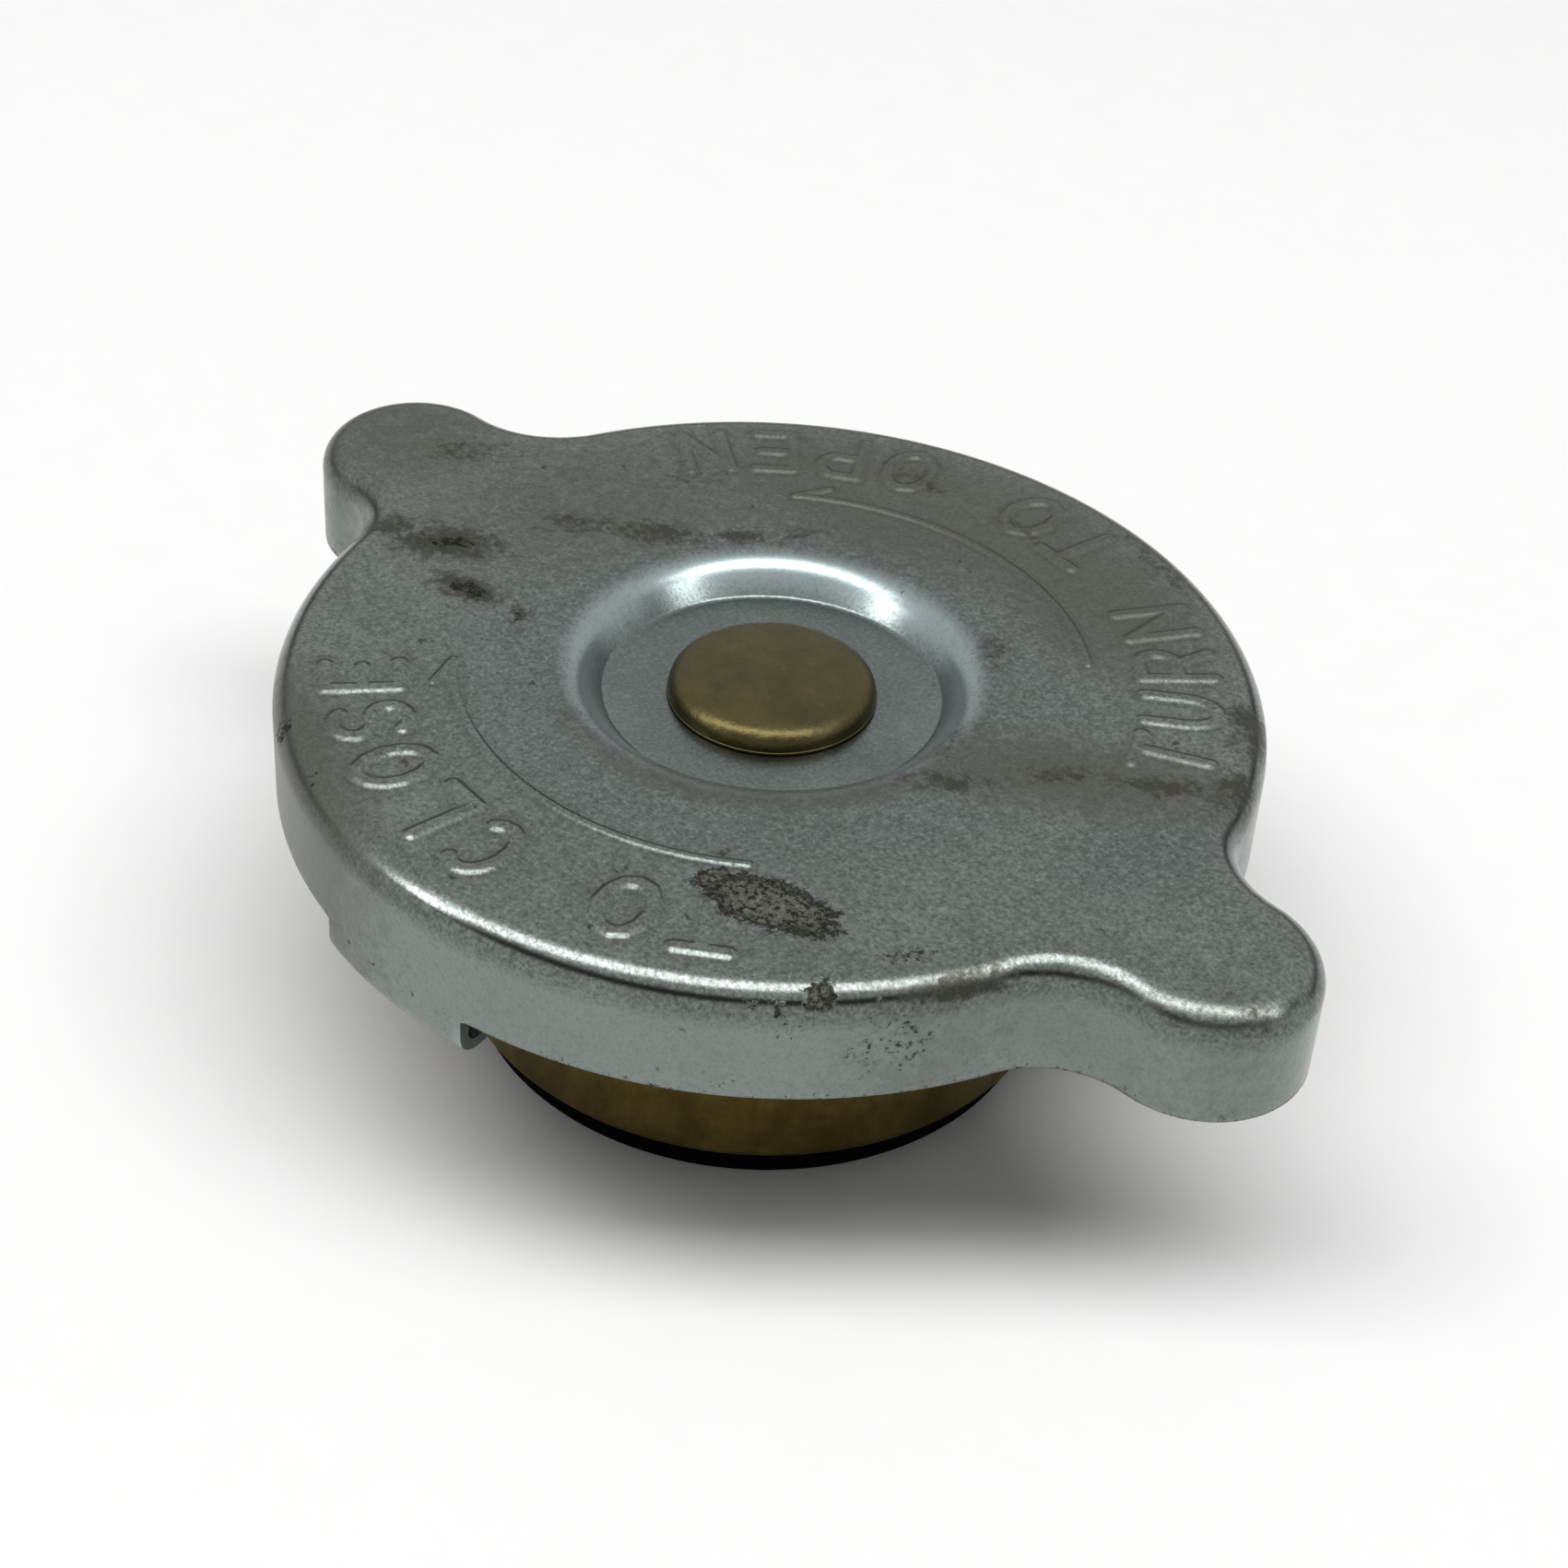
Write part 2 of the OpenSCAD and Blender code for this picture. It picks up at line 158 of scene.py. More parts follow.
bend_z = top_z - bend_r
under_z = top_z - sheet_t
under_floor_z = dish_floor_z - sheet_t
bend_in_r = bend_r - sheet_t
under_edge_r = dish_edge_r - sheet_t
under_corner_r = dish_corner_r + sheet_t
quarter = np.linspace(0, math.pi / 2, 13)
rows = [skirt_row(cut_edge, skirt_z), skirt_row(0, skirt_z + cut_edge[:, 0])]
rows += [skirt_row(0, z) for z in np.linspace(skirt_z + skirt_row_gap, bend_z - skirt_row_gap, 4)]
rows += [skirt_row(bend_r * (1 - math.cos(a)), bend_z + bend_r * math.sin(a)) for a in quarter]
rows += [flat_row(share, top_z) for share in np.linspace(0, 1, 6)[1:]]
letter_rows = round((letter_out_r - letter_in_r) / letter_row_step)
rows += [ring_row(r, top_z) for r in np.linspace(letter_out_r, letter_in_r, letter_rows + 1)[1:]]
face_to = len(rows)
rows += [dish_row(r, top_z) for r in np.linspace(letter_in_r, dish_top_r, 6)[1:]]
for a in np.linspace(0, dish_slope, 15)[1:]:
    rows.append(edge_row(a, top_z, dish_edge_r))
for a in np.linspace(dish_slope, 0, 10):
    rows.append(corner_row(a, dish_floor_z, dish_corner_r))
rows += [dish_row(r, dish_floor_z) for r in np.linspace(dish_floor_r, shell_bore_r + cut_edge_r, 6)[1:]]
rows.append(dish_row(shell_bore_r, dish_floor_z - cut_edge_r))
rows.append(dish_row(shell_bore_r, under_floor_z + cut_edge_r))
rows += [dish_row(r, under_floor_z) for r in (shell_bore_r + cut_edge_r, dish_floor_r)]
for a in np.linspace(0, dish_slope, 6)[1:]:
    rows.append(corner_row(a, under_floor_z, under_corner_r))
for a in np.linspace(dish_slope, 0, 7):
    rows.append(edge_row(a, under_z, under_edge_r))
rows += [ring_row(r, under_z) for r in (under_row_r, letter_out_r)]
rows.append(flat_row(0.5, under_z))
for a in quarter[::-3]:
    rows.append(skirt_row(bend_r - bend_in_r * math.cos(a), bend_z + bend_in_r * math.sin(a)))
rows += [skirt_row(sheet_t, z) for z in np.linspace(bend_z, skirt_z + skirt_row_gap, 3)[1:]]
rows.append(skirt_row(sheet_t, skirt_z + cut_edge[:, 0]))
rows.append(skirt_row(sheet_t - cut_edge, skirt_z))


def bow(x, y, across, up, start, end):
    """Part of an oval as a stroke of short lines."""
    turn = np.radians(np.linspace(start, end, 13))
    return np.column_stack((x + across * np.cos(turn), y + up * np.sin(turn)))


# The strokes of each letter, in shares of its width from its middle and of its height from its foot
LETTERS = {
    "C": [bow(0.05, 0.5, 0.5, 0.5, 55, 305)],
    "E": [[(0.42, 1), (-0.42, 1), (-0.42, 0), (0.42, 0)], [(-0.42, 0.5), (0.3, 0.5)]],
    "L": [[(-0.4, 1), (-0.4, 0), (0.42, 0)]],
    "N": [[(-0.45, 0), (-0.45, 1), (0.45, 0), (0.45, 1)]],
    "O": [bow(0, 0.5, 0.5, 0.5, 0, 360)],
    "P": [
        [(-0.42, 0), (-0.42, 1), (0.1, 1)],
        bow(0.1, 0.74, 0.34, 0.26, 90, -90),
        [(0.1, 0.48), (-0.42, 0.48)],
    ],
    "R": [
        [(-0.42, 0), (-0.42, 1), (0.1, 1)],
        bow(0.1, 0.74, 0.34, 0.26, 90, -90),
        [(-0.42, 0.48), (0.1, 0.48), (0.46, 0)],
    ],
    "S": [bow(0, 0.745, 0.42, 0.255, 30, 270), bow(0, 0.245, 0.44, 0.245, 90, -150)],
    "T": [[(-0.5, 1), (0.5, 1)], [(0, 1), (0, 0)]],
    "U": [[(-0.45, 1), (-0.45, 0.42)], bow(0, 0.42, 0.45, 0.42, 180, 360), [(0.45, 0.42), (0.45, 1)]],
}
letter_w = 2.8
letter_h = 4.2
letter_foot_r = 21.3
# How a stroke is pressed, as (half width at its foot, half width of its flat, height)
near_letter_form = (0.70, 0.12, 0.22)
far_letter_form = (0.66, 0.10, 0.20)
near_arrow_form = (0.42, 0.02, 0.16)
far_arrow_form = (0.44, 0.02, 0.16)
arrow_r = 18.3
arrow_barb_r = 19.5
arrow_barb_turn = 6.5


def word_relief(word, first, last, tops_out, form):
    """Strokes of a word round the axis, with its first and last letter's places in degrees."""
    relief = []
    for letter, place in zip(word, np.radians(np.linspace(first, last, len(word)))):
        if letter == " ":
            continue
        outwards = np.array((math.cos(place), math.sin(place)))
        sideways = np.array((-outwards[1], outwards[0]))
        strokes = []
        for stroke in LETTERS[letter]:
            across, up = (np.asarray(stroke) * (letter_w, letter_h)).T
            if not tops_out:
                across, up = -across, letter_h - up
            strokes.append(np.outer(letter_foot_r + up, outwards) - np.outer(across, sideways))
        relief.append((strokes, *form))
    return relief


def arrow_relief(tail, tip, form):
    """Strokes of an arrow along an arc, with its barb on the outer side of the tip."""
    turn = np.radians(np.linspace(tail, tip, 61))
    barb = math.radians(tip - math.copysign(arrow_barb_turn, tip - tail))
    line = arrow_r * np.column_stack((np.cos(turn), np.sin(turn)))
    head = np.array((line[-1], (arrow_barb_r * math.cos(barb), arrow_barb_r * math.sin(barb))))
    return [([line, head], *form)]


RELIEF = word_relief("TO CLOSE", -53, -127.5, True, near_letter_form)
RELIEF += word_relief("TURN TO OPEN", 27.5, 146, False, far_letter_form)
RELIEF += arrow_relief(-48.8, -131.8, near_arrow_form) + arrow_relief(49.5, 131.4, far_arrow_form)
relief_reach = 1.5
relief_margin = 0.3
letter_foot_dark_w = 0.22


def relief_at(x, y):
    """Height of the words and arrows at points of the top face, and how far the points are from them."""
    high, gap = np.zeros(len(x)), np.full(len(x), relief_reach)
    for strokes, foot_w, flat_w, rise in RELIEF:
        corners = np.vstack(strokes)
        low, far = corners.min(0) - relief_reach, corners.max(0) + relief_reach
        near = np.flatnonzero((x > low[0]) & (x < far[0]) & (y > low[1]) & (y < far[1]))
        nearest = np.full(len(near), np.inf)
        for stroke in strokes:
            for (x0, y0), (x1, y1) in zip(stroke, stroke[1:]):
                from_x, from_y, run_x, run_y = x[near] - x0, y[near] - y0, x1 - x0, y1 - y0
                along = np.clip((from_x * run_x + from_y * run_y) / (run_x**2 + run_y**2), 0, 1)
                nearest = np.minimum(nearest, np.hypot(from_x - along * run_x, from_y - along * run_y))
        inside = np.clip((foot_w - nearest) / (foot_w - flat_w), 0, 1)
        high[near] = np.maximum(high[near], rise * inside**2 * (3 - 2 * inside))
        gap[near] = np.minimum(gap[near], nearest - foot_w)
    return high, gap


points = np.vstack(rows)
row_ends = np.cumsum([len(row) for row in rows])
rings = [np.arange(end - len(row), end) for row, end in zip(rows, row_ends)]
faces = []
for low, high in zip(rings, rings[1:]):
    fewest = min(len(low), len(high))
    low_each, high_each = len(low) // fewest, len(high) // fewest
    for k in range(fewest):
        edge = [low[(k * low_each + i) % len(low)] for i in range(low_each + 1)]
        edge += [high[(k * high_each + i) % len(high)] for i in range(high_each, -1, -1)]
        faces.append(tuple(edge))
last_row = rings[-1][0]
for k in range(columns):
    n = (k + 1) % columns
    if not (on_lug[k] and on_lug[n]):
        faces.append((last_row + k, last_row + n, n, k))

fold_z = lug_z + lug_fold_r + sheet_t
fold_out_r = lug_fold_r + sheet_t
fold_in_r = fold_out_r - lug_t
fold_turns = np.linspace(0, math.pi / 2, 7)
outer_path = [(fold_out_r * (1 - math.cos(a)), fold_z - fold_out_r * math.sin(a)) for a in fold_turns]
lug_insets = ((fold_out_r + lug_reach) / 2, lug_reach)
outer_path += [(inset, lug_z) for inset in lug_insets]
inner_path = [(fold_out_r - fold_in_r * math.cos(a), fold_z - fold_in_r * math.sin(a)) for a in fold_turns]
inner_path += [(inset, lug_z + lug_t) for inset in lug_insets]
for side in (1, -1):
    members = [k for k in range(columns) if on_lug[k] and outline[k, 1] * side > 0]
    outer, inner = [members], [[last_row + k for k in members]]
    for path, strip in ((outer_path, outer), (inner_path, inner)):
        for inset, z in path:
            start = len(points)
            foot = np.column_stack((outline - inset * facing, np.full(columns, z)))[members]
            points = np.vstack((points, foot))
            strip.append(list(range(start, start + len(members))))
    loop = outer + inner[::-1]
    for above, below in zip(loop, loop[1:]):
        for k in range(len(members) - 1):
            faces.append((above[k], below[k], below[k + 1], above[k + 1]))
    for end in (0, -1):
        for k in range(len(outer) - 1):
            faces.append((outer[k][end], outer[k + 1][end], inner[k + 1][end], inner[k][end]))

same_height = 1e-4
sheet = bmesh.new()
corners = [sheet.verts.new(point) for point in points]
for face in faces:
    sheet.faces.new([corners[k] for k in face])
middles = np.array([face.calc_center_median() for face in sheet.faces])
middles_gap = relief_at(middles[:, 0], middles[:, 1])[1]
raised = (np.abs(middles[:, 2] - top_z) < same_height) & (middles_gap < relief_margin)
fine_edges = {edge for face, fine in zip(sheet.faces, raised) if fine for edge in face.edges}
bmesh.ops.subdivide_edges(sheet, edges=list(fine_edges), cuts=2, use_grid_fill=True)
sheet.verts.index_update()
inner_from, inner_to = row_ends[face_to], len(points)
points = np.array([vert.co for vert in sheet.verts])
outside = np.array([not inner_from <= vert.index < inner_to for vert in sheet.verts])
outside |= points[:, 2] > top_z - sheet_t / 2
faces = [[vert.index for vert in face.verts] for face in sheet.faces]
sheet.free()
on_top = np.flatnonzero(np.abs(points[:, 2] - top_z) < same_height)
high, gap = relief_at(points[on_top, 0], points[on_top, 1])
points[on_top, 2] += high
# How near the top face's points lie to the feet of the letters and arrows, where the finish paints a thin
# darker line.
letter_foot = np.zeros(len(points))
letter_foot[on_top] = np.exp(-((gap / letter_foot_dark_w) ** 2))


def solid(name, points, faces, finish, crease=50):
    """A piece from points in millimetres, its faces turned outwards and edges past the crease sharp."""
    mesh = bpy.data.meshes.new(name)
    mesh.from_pydata((np.asarray(points) * MM).tolist(), [], faces)
    work = bmesh.new()
    work.from_mesh(mesh)
    bmesh.ops.recalc_face_normals(work, faces=work.faces)
    work.to_mesh(mesh)
    work.free()
    mesh.shade_smooth()
    mesh.set_sharp_from_angle(angle=math.radians(crease))
    mesh.materials.append(finish)
    piece = bpy.data.objects.new(name, mesh)
    bpy.context.collection.objects.link(piece)
    return piece


def mark(piece, name, values):
    """Keeps a number for each point of a piece, for its finish to read."""
    attribute = piece.data.attributes.new(name, "FLOAT", "POINT")
    attribute.data.foreach_set("value", np.asarray(values, np.float32))


class Paint:
    """A socket in a finish. Arithmetic on it adds Math nodes, and node() adds any other."""

    def __init__(self, tree, socket):
        self.tree = tree
        self.socket = socket

    def feed(self, node, sockets):
        for name, value in sockets.items():
            if isinstance(value, Paint):
                self.tree.links.new(value.socket, node.inputs[name])
            else:
                node.inputs[name].default_value = value

    def node(self, kind, output, settings, sockets):
        made = self.tree.nodes.new(kind)
        for name, value in settings.items():
            setattr(made, name, value)
        self.feed(made, sockets)
        return Paint(self.tree, made.outputs[output])

    def math(self, operation, first, second):
        return self.node("ShaderNodeMath", 0, {"operation": operation}, {0: first, 1: second})

    def __add__(self, other):
        return self.math("ADD", self, other)

    def __radd__(self, other):
        return self.math("ADD", other, self)

    def __sub__(self, other):
        return self.math("SUBTRACT", self, other)

    def __rsub__(self, other):
        return self.math("SUBTRACT", other, self)

    def __mul__(self, other):
        return self.math("MULTIPLY", self, other)

    def __rmul__(self, other):
        return self.math("MULTIPLY", other, self)


def new_finish(name):
    """A material with nodes, and its Object coordinates as a paint."""
    material = bpy.data.materials.new(name)
    material.use_nodes = True
    tree = material.node_tree
    return material, Paint(tree, tree.nodes.new("ShaderNodeTexCoord").outputs["Object"])


def dress(material, at, sockets):
    at.feed(material.node_tree.nodes["Principled BSDF"], sockets)


def stretch(at, x, y, z):
    return at.node("ShaderNodeMapping", 0, {}, {"Vector": at, "Scale": (x, y, z)})


def speckle(at, size_mm, detail, roughness=0.6):
    """Noise with blotches of about that size, from 0 to 1."""
    sockets = {"Vector": at, "Scale": 1 / (size_mm * MM), "Detail": detail, "Roughness": roughness}
    return at.node("ShaderNodeTexNoise", 0, {}, sockets)


def between(value, low, high):
    """0 below low, 1 above high, and a soft step between them."""
    sockets = {"Value": value, "From Min": low, "From Max": high}
    return value.node("ShaderNodeMapRange", 0, {"interpolation_type": "SMOOTHSTEP"}, sockets)


def blend(share, under, over):
    """One colour over another, by its share."""
    return share.node("ShaderNodeMix", 2, {"data_type": "RGBA"}, {0: share, 6: under, 7: over})


def bump(height, depth_mm, strength):
    sockets = {"Height": height, "Distance": depth_mm * MM, "Strength": strength}
    return height.node("ShaderNodeBump", 0, {}, sockets)


def worn(at, name):
    return at.node("ShaderNodeAttribute", "Fac", {"attribute_name": name}, {})


# Crusted stains and smears on the plating as (x, y, half length, half width, turn in degrees, strength)
STAINS = [
    (15.1, -15.2, 3.9, 1.9, 20, 1.0),
    (11.6, -15.9, 1.4, 0.9, 70, 0.85),
    (22.7, -12.7, 1.9, 0.9, 60, 0.52),
    (-17.3, -8.4, 2.0, 0.9, 20, 0.62),
    (-21.9, -6.0, 2.6, 1.0, 43, 0.56),
    (-13.0, -8.0, 1.1, 0.7, 150, 0.5),
    (34.4, 2.5, 1.4, 0.9, 0, 0.42),
]
SMEARS = [
    (-21.9, -6.2, 4.2, 2.1, 40, 0.9),
    (-17.3, -8.4, 2.8, 1.5, 20, 0.9),
    (-25.3, -7.4, 2.8, 1.8, 40, 0.75),
    (-13.0, -8.0, 1.5, 1.0, 150, 0.7),
    (-18.4, 1.3, 4.2, 1.7, 50, 0.62),
    (-14.5, 4.4, 3.4, 1.4, 45, 0.85),
    (-10.8, 8.0, 2.6, 1.0, 50, 0.8),
    (-8.8, 11.0, 2.4, 0.9, 55, 0.7),
    (-29.0, 1.6, 3.6, 2.2, 45, 0.6),
    (-17.3, 10.6, 3.2, 1.7, 45, 0.5),
    (-8.3, 21.0, 3.2, 1.6, 20, 0.55),
    (-0.6, 21.5, 2.4, 1.5, 10, 0.55),
    (8.5, 25.2, 6.0, 1.1, 160, 0.6),
    (7.3, 10.9, 2.8, 1.3, 130, 0.65),
    (11.4, 2.6, 2.9, 0.9, 110, 0.6),
    (14.2, -0.4, 3.4, 1.3, 45, 0.72),
    (17.6, 4.6, 3.2, 1.3, 50, 0.64),
    (22.0, 8.0, 3.8, 1.2, 40, 0.74),
    (25.0, 11.0, 2.6, 1.8, 110, 0.74),
    (22.0, 16.4, 3.4, 1.8, 120, 0.75),
    (26.0, -11.8, 3.8, 1.6, 65, 0.85),
    (37.0, -3.0, 2.4, 2.6, 0, 0.5),
]
# Patches on the bend and the skirt as (x, y, drop below the top face, radius, strength)
SIDE_STAINS = [
    (21.4, -17.8, 0.5, 1.0, 0.78),
    (20.1, -19.2, 1.3, 0.95, 0.6),
    (19.0, -20.3, 1.2, 0.8, 0.58),
    (20.4, -19.0, 2.1, 1.0, 0.55),
    (24.5, -14.3, 3.5, 2.6, 0.41),
    (23.4, -16.2, 4.3, 2.0, 0.38),
    (18.1, -21.6, 6.4, 2.0, 0.36),
    (-1.1, -27.0, 1.2, 0.8, 0.85),
    (-8.8, -26.2, 0.8, 1.0, 0.52),
    (-13.9, -24.2, 0.8, 1.2, 0.55),
    (24.0, -15.2, 2.0, 1.8, 0.40),
]
# Thin films on the plating, laid out as the stains are
BROWN_FILM = [
    (-20, 5, 15, 9, 70, 0.6),
    (-6, 19, 16, 7, 20, 0.95),
    (7, 20, 10, 6, 160, 0.85),
    (17, 19, 8, 5, 130, 0.2),
    (18, 5, 10, 3.5, 35, 0.8),
    (-33, 0, 8, 7, 0, 0.7),
    (26, -13, 6, 3, 60, 0.4),
    (36, -3, 5, 4, 0, 0.3),
    (-12, -27, 13, 4, -22, 1.0),
]
BLUE_FILM = [
    (0, 0, 14.5, 14.5, 0, 0.85),
    (25.5, 4.0, 6.0, 3.0, 80, 0.55),
    (28.6, -8.2, 4.5, 3.2, 60, 0.22),
]


def fade(away):
    """1 in a patch's middle and 0 well outside it, for distances in shares of its size."""
    return np.clip(1.25 - 0.75 * away, 0, 1)


def patch_depth(points, patches):
    """How deep each point lies in the deepest patch there, from 0 outside to the patch's strength."""
    deepest = np.zeros(len(points))
    for x, y, half_l, half_w, turn, strength in patches:
        c, s = math.cos(math.radians(turn)), math.sin(math.radians(turn))
        along = ((points[:, 0] - x) * c + (points[:, 1] - y) * s) / half_l
        aside = ((points[:, 1] - y) * c - (points[:, 0] - x) * s) / half_w
        deepest = np.maximum(deepest, strength * fade(np.hypot(along, aside)))
    return deepest


def blot_depth(points, blots):
    """The same for round patches on the bend and the skirt."""
    deepest = np.zeros(len(points))
    for x, y, drop, radius, strength in blots:
        away = np.linalg.norm(points - (x, y, top_z - drop), axis=1) / radius
        deepest = np.maximum(deepest, strength * fade(away))
    return deepest


plating, at = new_finish("zinc_plating")
side = worn(at, "side")
rubbed = worn(at, "rubbed")
pale = worn(at, "pale")
calm = (1 - 0.7 * side) * (1 - 0.75 * pale)
grain = speckle(at, 0.24, 4, 0.7)
fleck = speckle(at, 0.8, 5, 0.7)
cloud = speckle(at, 6, 5)
spots = between(speckle(at, 1.4, 3), 0.69, 0.75)
smear = worn(at, "smear") + 1.2 * (speckle(at, 1.8, 6, 0.75) - 0.5)
smear = between(smear + 1.3 * (speckle(at, 0.5, 5, 0.75) - 0.5), 0.38, 0.82)
crust = speckle(at, 0.34, 4, 0.75)
reach = worn(at, "stain") + (0.7 - 0.5 * side) * (speckle(at, 1.3, 5, 0.7) - 0.5)
reach = reach + (0.9 + 0.5 * side) * (speckle(at, 0.4, 4, 0.7) - 0.5)
dirt = between(reach, 0.42, 0.58)
core = between(reach, 0.52, 0.82)
film_and_edge_shade = between(worn(at, "film_and_edge_shade") + 0.7 * (fleck - 0.5) + 0.5 * (cloud - 0.5), 0.1, 0.8)
clean = worn(at, "blue") * between(cloud, 0.1, 0.6)
zinc = blend(between(cloud, 0.3, 0.7), (0.122, 0.136, 0.125, 1), (0.154, 0.174, 0.160, 1))
# Painted light: the skirt is painted lighter than the top face, standing in for light from the floor that
# it reflects.
zinc = blend(side * 0.8, zinc, (0.215, 0.252, 0.232, 1))
zinc = blend(clean * 0.9, zinc, (0.075, 0.094, 0.095, 1))
# Painted highlight: the dish's wall is painted pale, most on its side away from the camera, to brighten
# the lamp's arc there; the lugs' cut ends are pale as bare steel.
zinc = blend(pale * 0.9, zinc, (0.285, 0.345, 0.350, 1))
zinc = blend(between(grain, 0.46, 0.68) * 0.72 * calm, zinc, (0.052, 0.058, 0.052, 1))
zinc = blend(between(1 - grain, 0.5, 0.72) * 0.62 * calm, zinc, (0.260, 0.290, 0.275, 1))
zinc = blend(between(fleck, 0.52, 0.75) * 0.4 * calm, zinc, (0.075, 0.082, 0.074, 1))
zinc = blend(between(1 - fleck, 0.52, 0.75) * 0.4 * calm, zinc, (0.215, 0.240, 0.226, 1))
# Brown films, with painted shade on the dish's rim on the side towards the camera.
zinc = blend(film_and_edge_shade * 0.68, zinc, (0.070, 0.069, 0.055, 1))
# Painted darker in a thin line round the feet of the raised letters and arrows.
zinc = blend(worn(at, "foot") * 0.2, zinc, (0.045, 0.046, 0.038, 1))
zinc = blend(spots * 0.75, zinc, (0.030, 0.027, 0.020, 1))
zinc = blend(smear * 0.8, zinc, (0.034, 0.031, 0.022, 1))
scale = blend(between(crust, 0.43, 0.51) * core, (0.012, 0.011, 0.008, 1), (0.096, 0.097, 0.078, 1))
scale = blend(between(crust, 0.57, 0.68) * core, scale, (0.190, 0.190, 0.158, 1))
scale = blend(side * 0.7, scale, (0.058, 0.052, 0.038, 1))
pitting = (0.5 * grain + 0.4 * fleck) * (1 - 0.5 * rubbed) * (1 - 0.6 * pale)
dress(
    plating,
    at,
    {
        "Base Color": blend(dirt * 0.95, zinc, scale),
        # Painted light: the dish's wall, all but its side away from the camera, is made less metallic so
        # that lamp light lightens it; the lugs' cut ends are dull bare steel.
        "Metallic": 1 - 0.1 * film_and_edge_shade - 0.3 * worn(at, "dull"),
        "Roughness": 0.20 - 0.06 * rubbed + 0.1 * grain + 0.12 * film_and_edge_shade + 0.2 * smear + 0.45 * dirt,
        "Normal": bump(pitting + 1.5 * dirt * crust, 0.06, 0.4),
    },
)

# Wear, dirt, painted light and painted shade at the shell's points, from 0 to 1, with breakpoints in
# millimetres or shares of the dish
shell = solid("plated_cap_shell", points, faces, plating)
above_skirt = np.clip((points[:, 2] - bend_z - 0.2) / 0.6, 0, 1)
stains = np.maximum(patch_depth(points, STAINS) * above_skirt, blot_depth(points, SIDE_STAINS))
lower_edge = np.interp(points[:, 2] - skirt_z, (0, 0.3, 1.2), (0.36, 0.36, 0))
mark(shell, "stain", np.maximum(stains, lower_edge) * outside)
mark(shell, "smear", patch_depth(points, SMEARS) * above_skirt * outside)
mark(shell, "foot", letter_foot)
mark(shell, "blue", patch_depth(points, BLUE_FILM))
from_axis = np.hypot(points[:, 0], points[:, 1])
# The turn of the cap's side away from the camera, by which the dish's painted sheen, painted shade and
# lightening are laid out.
far_side_turn = math.radians(133.2)
far_side_share = points @ (math.cos(far_side_turn), math.sin(far_side_turn), 0) / dish_top_r
on_wall = np.interp(from_axis, dish_floor_r + np.array((0.2, 0.7, 1.9, 3.0)), (0, 1, 1, 0))
# Painted shade on the dish's rim, on the side towards the camera; it is kept with the brown films.
near_edge_shade = np.interp(from_axis, dish_floor_r + np.array((2.0, 2.6, 3.6, 4.6)), (0, 1, 1, 0))
near_edge_shade *= np.interp(far_side_share, (-0.9, 0.1), (0.7, 0))
mark(shell, "film_and_edge_shade", np.maximum(patch_depth(points, BROWN_FILM), near_edge_shade))
side_turn = np.degrees(np.arctan2(points[:, 1], points[:, 0]))
lug_end = (np.abs(np.abs(np.abs(side_turn) - 90) - lug_half_angle) < 1) & (points[:, 2] < skirt_z - 0.1)
# Painted highlight on the dish's wall, strongest on the side away from the camera; the lugs' cut ends are
# pale bare steel.
painted_wall_sheen = on_wall * np.interp(far_side_share, (-0.2, 0.8), (0.7, 1))
mark(shell, "pale", np.maximum(painted_wall_sheen, 0.6 * lug_end))
# Less metal on the dish's wall where it faces sideways or towards the camera, as painted light, and on the
# lugs' cut ends, which are bare.
mark(shell, "dull", np.maximum(on_wall * np.interp(far_side_share, (0.2, 0.9), (1, 0)), 0.5 * lug_end))
on_bend = np.clip(1.2 - np.abs(top_z - points[:, 2] - 0.35 * bend_r) / (0.45 * bend_r), 0, 1)
on_bend *= np.interp(from_axis, (letter_out_r, letter_out_r + 0.1, body_r, body_r + 2), (0, 1, 1, 0.2))
mark(shell, "rubbed", on_bend)
# The skirt; its plating is also painted lighter than the top face's, as painted light.
mark(shell, "side", np.clip((bend_z + 0.4 - points[:, 2]) / 0.8, 0, 1))
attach(shell, "cap")
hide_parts("cap_shell")

# The rivet: a turned brass pin with a broad, flat pan head that holds the valve gear to the shell.
# Its head has a well-rounded edge and lies in the dish; its clenched end is inside the bell.
rivet_low, rivet_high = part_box("rivet")
head_gap = 0.05
head_z = dish_floor_z + head_gap
head_r = rivet_high.x / MM
head_top_z = rivet_high.z / MM
head_edge_r = 1.05
head_crown = 0.25
head_fall = 1.6
head_lip_w = 0.07
head_lip_h = 0.14
lip_edge_r = 0.05
shank_r = 3.0
clench_r = 4.6
clench_h = 1.3
clench_z = rivet_low.z / MM
turned_crease = 35


def rounded_section(corners, steps=7):
    """A section from corners (radius, height, rounding), where each rounding above 0 makes a curve."""
    section = []
    count = len(corners)
    for k, (r, z, rounding) in enumerate(corners):
        here = Vector((r, z))
        if rounding == 0:
            section.append(here)
            continue
        before = Vector(corners[k - 1][:2]) - here
        after = Vector(corners[(k + 1) % count][:2]) - here
        half = before.angle(after) / 2
        run = rounding / math.tan(half)
        middle = here + (before.normalized() + after.normalized()).normalized() * rounding / math.sin(half)
        first = here + before.normalized() * run - middle
        last = here + after.normalized() * run - middle
        for share in np.linspace(0, 1, steps):
            section.append(middle + rounding * first.slerp(last, share).normalized())
    return section


